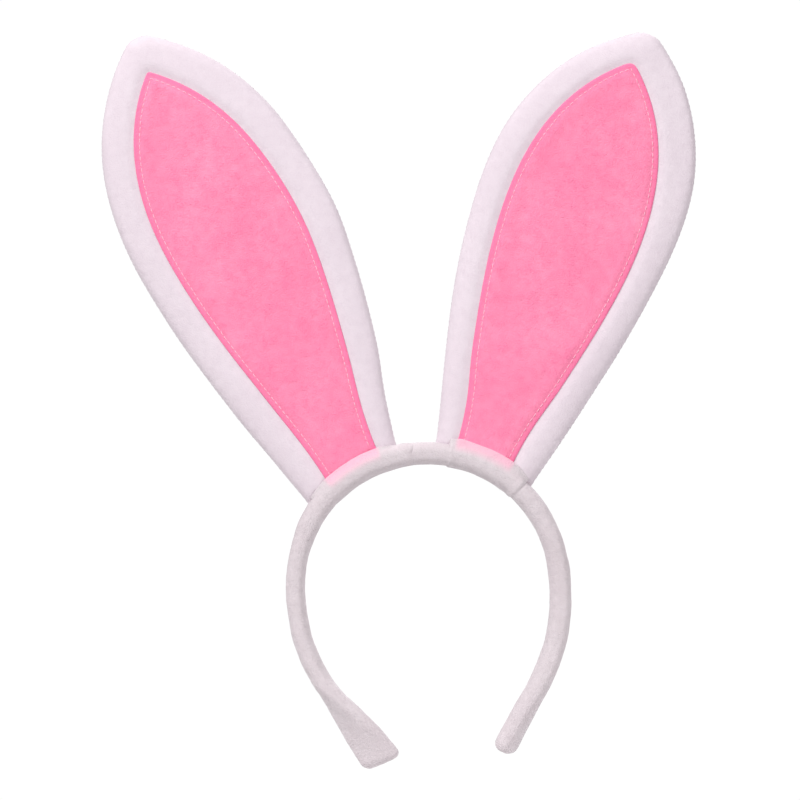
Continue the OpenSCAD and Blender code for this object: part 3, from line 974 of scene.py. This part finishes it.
def build_core(side, shapes):
    flat, triangles, edges, _ = sheet_mesh(shapes["outline"], [], CORE_GRID)
    rim_distance = path_distance(flat, shapes["rim"], closed=False)
    thick = np.maximum(rim_thickness(rim_distance) - CORE_THINNER, 0)
    thick[:edges] = 0
    shrunk = flat * CORE_SCALE + (0, CORE_UP)
    front = ear_world(side, shrunk[:, 0], -thick, shrunk[:, 1])
    back = ear_world(side, shrunk[:, 0], thick, shrunk[:, 1])
    core, _ = two_layers(f"{side}_ear_filling", front, back, triangles, edges, FOAM)
    return core


def build_ear(side):
    shapes = ear_shapes(side)
    pillow = build_pillow(side, shapes)
    surface = surface_of(pillow)
    felt = build_felt(side, shapes, surface)
    topstitch = build_topstitches(side, shapes, felt)
    rim_stitches = build_rim_stitches(side, shapes, surface)
    core = build_core(side, shapes)

    for piece in (pillow, felt, topstitch, rim_stitches, core):
        bend_with_ear(piece)
    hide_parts(f"{side}_ear_front", f"{side}_ear_back")
    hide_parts(f"{side}_ear_core")
    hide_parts(f"{side}_ear_pink")
    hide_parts(f"{side}_ear_topstitch")
    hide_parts(f"{side}_ear_rim_thread")
    return shapes


# ---- The wraps ----

# In degrees: the spacing of a wrap's rings, and the stretch over which its upper end thins out
WRAP_STEP = 0.7
WRAP_FADE = 1.4
# How far a wrap stands out from the band, and how deep its ends are tucked in
WRAP_RISE, WRAP_TUCK = 0.5, 0.45
WRAP_SQUARENESS = 2.7
# The share of the way round, from the inner face, where the collar leaves the band
WRAP_SHOULDER = 0.66
# How far inside the ear's outline the collar is fully up, and the lip: its share of the full height at the
# outline, how far inside that it reaches the full height, and how much lower it is at the back
COLLAR_OVER = 5
LIP_LEAST, LIP_OVER = 0.45, 14
LIP_LOWER_BEHIND = 0.6
# The lip's gap to the ear, and what the pink panel adds to it
LIP_GAP, LIP_GAP_PINK = 0.7, 0.5
# How strongly the pink's painted reflection tints the lip's front, and how far down from the lip it reaches
# and fades out
REFLECTION_STRENGTH = 0.75
REFLECTION_LOW, REFLECTION_OVER = 7.5, 6
# The creases: their height and spacing, their share in a wrap's middle, and over how many degrees from a
# wrap's end they fade to it
CREASE, CREASE_PERIOD = 0.7, 5
CREASE_LEAST = 0.25
CREASE_TO, CREASE_OVER = 9, 6


def wrap_half(t, rise, lip_r, lip_y, collar):
    """Half a wrap's section, as (radius, depth) from the middle of its inner face to its top.

    It lies rise above the band. With a collar of 1 it goes up from its shoulder to a lip beside the ear."""
    centre = HOOP_R + t / 2
    power = 2 / WRAP_SQUARENESS

    def around(share):
        a = math.pi * share
        r = centre - (t / 2 + rise) * signed_power(np.cos(a), power)
        return np.stack([r, (BAND_W / 2 + rise) * signed_power(np.sin(a), power)], axis=-1)

    lower = around(np.linspace(0, WRAP_SHOULDER, 20))
    plain = around(np.linspace(WRAP_SHOULDER, 1, 15)[1:])
    start = lower[-1]
    tangent = lower[-1] - lower[-2]
    tangent /= np.linalg.norm(tangent)
    lip = np.array([lip_r - 0.5, lip_y])
    sweep = bezier((start, start + 1.6 * tangent, lip + (-1.6, 0.5), lip), np.linspace(0, 1, 10)[1:])
    top = np.array([
        (lip_r - 0.05, lip_y - 0.35), (lip_r - 0.1, lip_y - 0.9), (lip_r - 0.9, lip_y - 1.5),
        (lip_r - 1.8, 0.5 * lip_y), (lip_r - 1.8, 0),
    ])
    raised = np.vstack([sweep, top])
    return np.vstack([lower, (1 - collar) * plain + collar * raised])


def build_wrap(side, shapes):
    arm = ARMS[side]
    low, high = arm["wrap"]
    angles = np.linspace(low, high, round((high - low) / WRAP_STEP))
    rings, painted_reflection = [], []
    for angle in angles:
        a = math.radians(angle)
        rise = (WRAP_RISE + WRAP_TUCK) * float(smooth((angle - low) / arm["fade"]))
        rise = rise * float(smooth((high - angle) / WRAP_FADE)) - WRAP_TUCK
        t = arm_thickness(side, angle)
        at = np.array([math.cos(a), math.sin(a)])
        base = ear_local(side, *((CROWN_OUT + 0.5) * at))[None]
        edge = float(path_distance(base, shapes["rim"], closed=False)[0])
        within = edge if inside(base, shapes["outline"])[0] else -edge
        collar = float(smooth((within + 0.5) / COLLAR_OVER))
        lip_share = LIP_LEAST + (1 - LIP_LEAST) * float(smooth(within / LIP_OVER))
        lip_r = CROWN_OUT + arm["lip"] * lip_share
        spot = ear_local(side, *(lip_r * at))[None]
        ear_t = float(rim_thickness(path_distance(spot, shapes["rim"], closed=False))[0])
        pink = float(pink_depth(shapes, spot)[0])
        over_pink = float(smooth((pink + 1.5) / 3))
        front = wrap_half(t, rise, lip_r, ear_t + LIP_GAP + LIP_GAP_PINK * over_pink, collar)
        rear = wrap_half(t, rise, lip_r - LIP_LOWER_BEHIND, ear_t + LIP_GAP, collar)
        section = np.vstack([front * (1, -1), rear[-2:0:-1]])
        rings.append(np.stack([section[:, 0] * at[0], section[:, 1], section[:, 0] * at[1]], axis=-1))
        # Painted reflection of the pink panel: strongest on the front near the lip and over the pink, fading
        # downwards
        near_lip = smooth((section[:, 0] - (lip_r - REFLECTION_LOW)) / REFLECTION_OVER) * (section[:, 1] < 0)
        painted_reflection.append(near_lip * over_pink * collar)
    wrap = loft(f"{side}_wrap_velour", mirrored(side, rings), WRAP_VELOUR)
    set_attribute(wrap, "painted_reflection", REFLECTION_STRENGTH * np.concatenate(painted_reflection))
    subdivided(wrap)

    def near_ends(points):
        angle = np.degrees(np.arctan2(points[:, 2], OUTWARDS[side] * points[:, 0]))
        from_end = np.minimum(high - angle, angle - low)
        return CREASE_LEAST + (1 - CREASE_LEAST) * smooth((CREASE_TO - from_end) / CREASE_OVER)

    seed = 8 if side == LEFT else 9
    puckered(wrap, CREASE, CREASE_PERIOD, stretch=(1, 0.3, 1), seed=seed, mask=near_ends)
    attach(wrap, "crown")
    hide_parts(f"{side}_wrap")
    sleeve = hoop_tube(side, low + 2, high - 2, 1, band_section(CROWN_T, -0.5))
    stitches = stitch_row(f"{side}_wrap_seam_stitches", *seam_on(surface_of(wrap), sleeve), **TACK_STITCH)
    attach(stitches, "crown")
    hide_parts(f"{side}_wrap_stitches")


# ---- The stage ----

# The camera: the view's width and middle, its turn about its own axis and, in metres, its distance
VIEW_WIDTH = 400
VIEW_CENTRE = (-6.3, 94.3)
VIEW_ROLL = 4.4
CAMERA_AWAY = 1.7
# The floor, in metres: how far below the model it lies, and its radius
FLOOR_DROP = 0.15
FLOOR_R = 0.5
# The world's brightness: to the camera, and as light from straight below and from straight above
SKY_SEEN = 1.02
SKY_BELOW, SKY_ABOVE = 0.08, 0.82


def add_camera():
    data = bpy.data.cameras.new("camera")
    data.sensor_width = 36
    data.lens = data.sensor_width * CAMERA_AWAY / (VIEW_WIDTH * MM)
    camera = bpy.data.objects.new("camera", data)
    bpy.context.scene.collection.objects.link(camera)
    roll = math.radians(VIEW_ROLL)
    right = Vector((math.cos(roll), 0, -math.sin(roll)))
    up = Vector((math.sin(roll), 0, math.cos(roll)))
    turn = Matrix((right, up, right.cross(up))).transposed()
    place = Vector((VIEW_CENTRE[0] * MM, -CAMERA_AWAY, VIEW_CENTRE[1] * MM))
    camera.matrix_world = Matrix.Translation(place) @ turn.to_4x4()
    bpy.context.scene.camera = camera


def add_light(name, place, size, energy):
    data = bpy.data.lights.new(name, "AREA")
    data.shape = "DISK"
    data.size = size
    data.energy = energy
    light = bpy.data.objects.new(name, data)
    light.location = place
    aim = Vector((0, 0, 0.1)) - light.location
    light.rotation_euler = aim.to_track_quat("-Z", "Y").to_euler()
    bpy.context.scene.collection.objects.link(light)


def add_stage():
    """A pale floor under soft light, with a plain white world that is brighter to look at than it lights."""
    lowest = CAD_BOX[0][2] - FLOOR_DROP
    body = bmesh.new()
    bmesh.ops.create_circle(body, cap_ends=True, radius=FLOOR_R, segments=96)
    mesh = bpy.data.meshes.new("floor")
    body.to_mesh(mesh)
    body.free()
    mesh.materials.append(FLOOR)
    floor = bpy.data.objects.new("floor", mesh)
    floor.location = (0, 0, lowest)
    bpy.context.scene.collection.objects.link(floor)

    world = bpy.data.worlds.new("world")
    bpy.context.scene.world = world
    world.use_nodes = True
    nodes, links = world.node_tree.nodes, world.node_tree.links
    background = nodes["Background"]
    background.inputs["Color"].default_value = (1, 1, 1, 1)
    rays = nodes.new("ShaderNodeLightPath")
    strength = nodes.new("ShaderNodeMapRange")
    strength.inputs["To Max"].default_value = SKY_SEEN
    sky = nodes.new("ShaderNodeTexCoord")
    height = nodes.new("ShaderNodeSeparateXYZ")
    links.new(sky.outputs["Generated"], height.inputs["Vector"])
    glow = nodes.new("ShaderNodeMapRange")
    glow.inputs["From Min"].default_value = -1
    glow.inputs["To Min"].default_value = SKY_BELOW
    glow.inputs["To Max"].default_value = SKY_ABOVE
    links.new(height.outputs["Z"], glow.inputs["Value"])
    links.new(glow.outputs["Result"], strength.inputs["To Min"])
    links.new(rays.outputs["Is Camera Ray"], strength.inputs["Value"])
    links.new(strength.outputs["Result"], background.inputs["Strength"])
    bpy.context.scene.view_settings.view_transform = "Standard"

    add_light("key", (-0.9, -1.1, 1.3), 0.7, 27)
    add_light("fill", (1.2, -1.0, 0.5), 0.9, 7.5)
    add_light("back", (0.5, 1.4, 1.1), 1.2, 14)


# ---- The model ----

add_camera()
add_stage()
build_crown()
for side in SIDES:
    build_arm(side)
    build_end_fold(side)
    build_wrap(side, build_ear(side))
